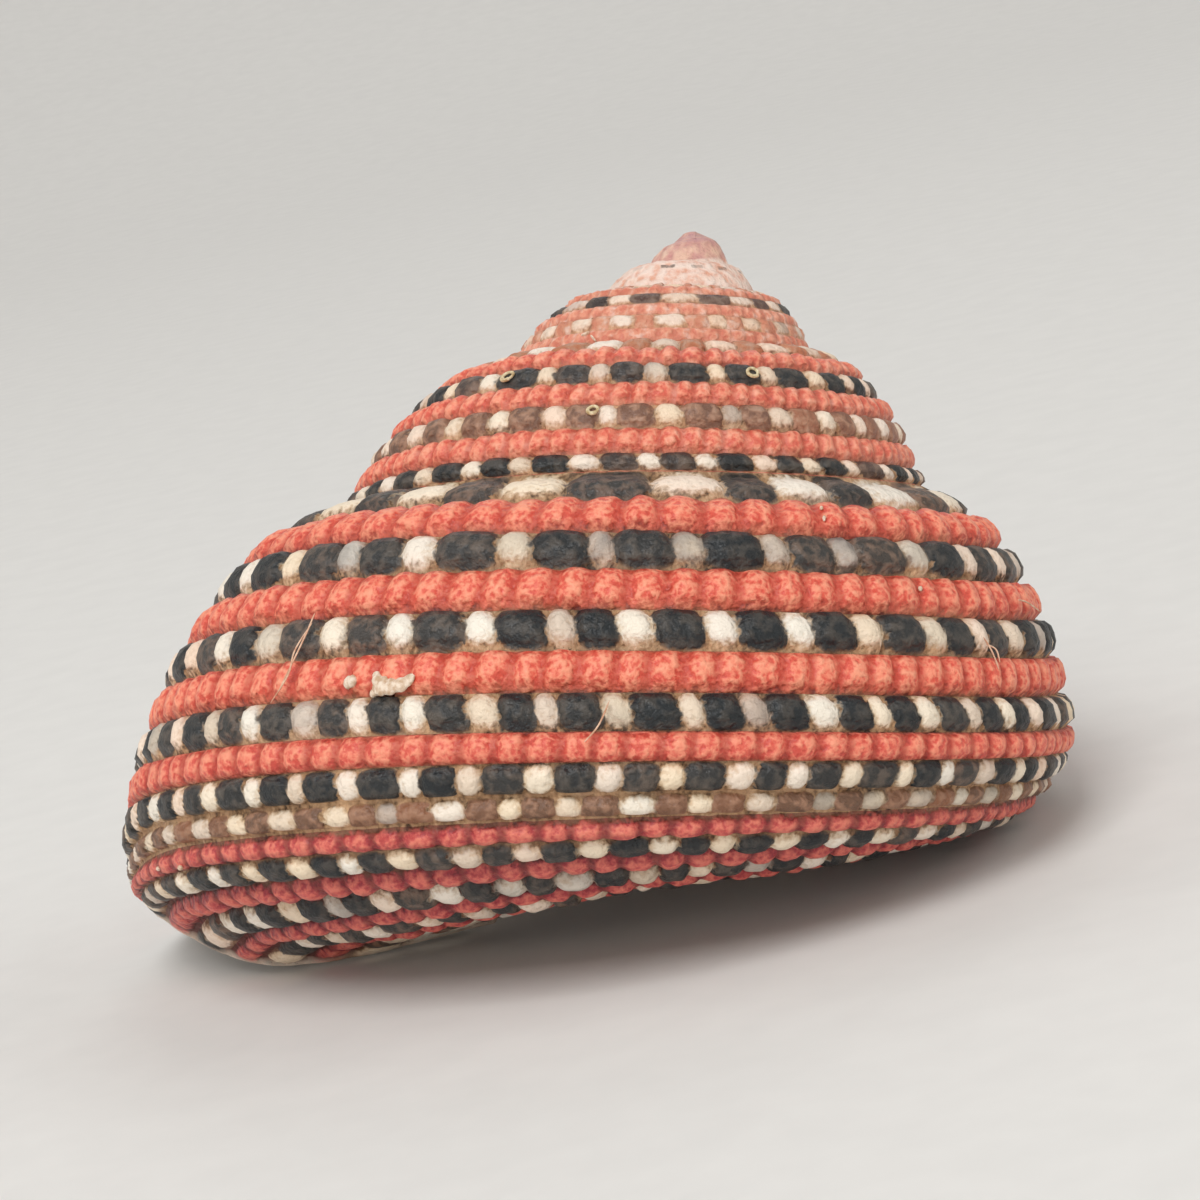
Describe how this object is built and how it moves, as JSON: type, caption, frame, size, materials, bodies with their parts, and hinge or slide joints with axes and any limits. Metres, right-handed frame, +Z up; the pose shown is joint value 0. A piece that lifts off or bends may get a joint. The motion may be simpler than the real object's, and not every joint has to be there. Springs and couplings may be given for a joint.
{
  "type": "top shell",
  "caption": "Low conical coiled sea shell with a rounded base, a small navel and a slanted open mouth; it rests on its mouth.",
  "frame": {"origin": "on the resting surface, below the centre of the shell's box", "axes": "+Z up as the shell rests on its mouth; -Y is the side away from the mouth; +X is the longer side"},
  "size_m": [0.022, 0.02, 0.0142],
  "materials": {
    "shell": "natural beaded sea shell, coral red with cream and black beads, soft satin gloss"
  },
  "bodies": {
    "root": {"shell": "shell"}
  },
  "joints": []
}
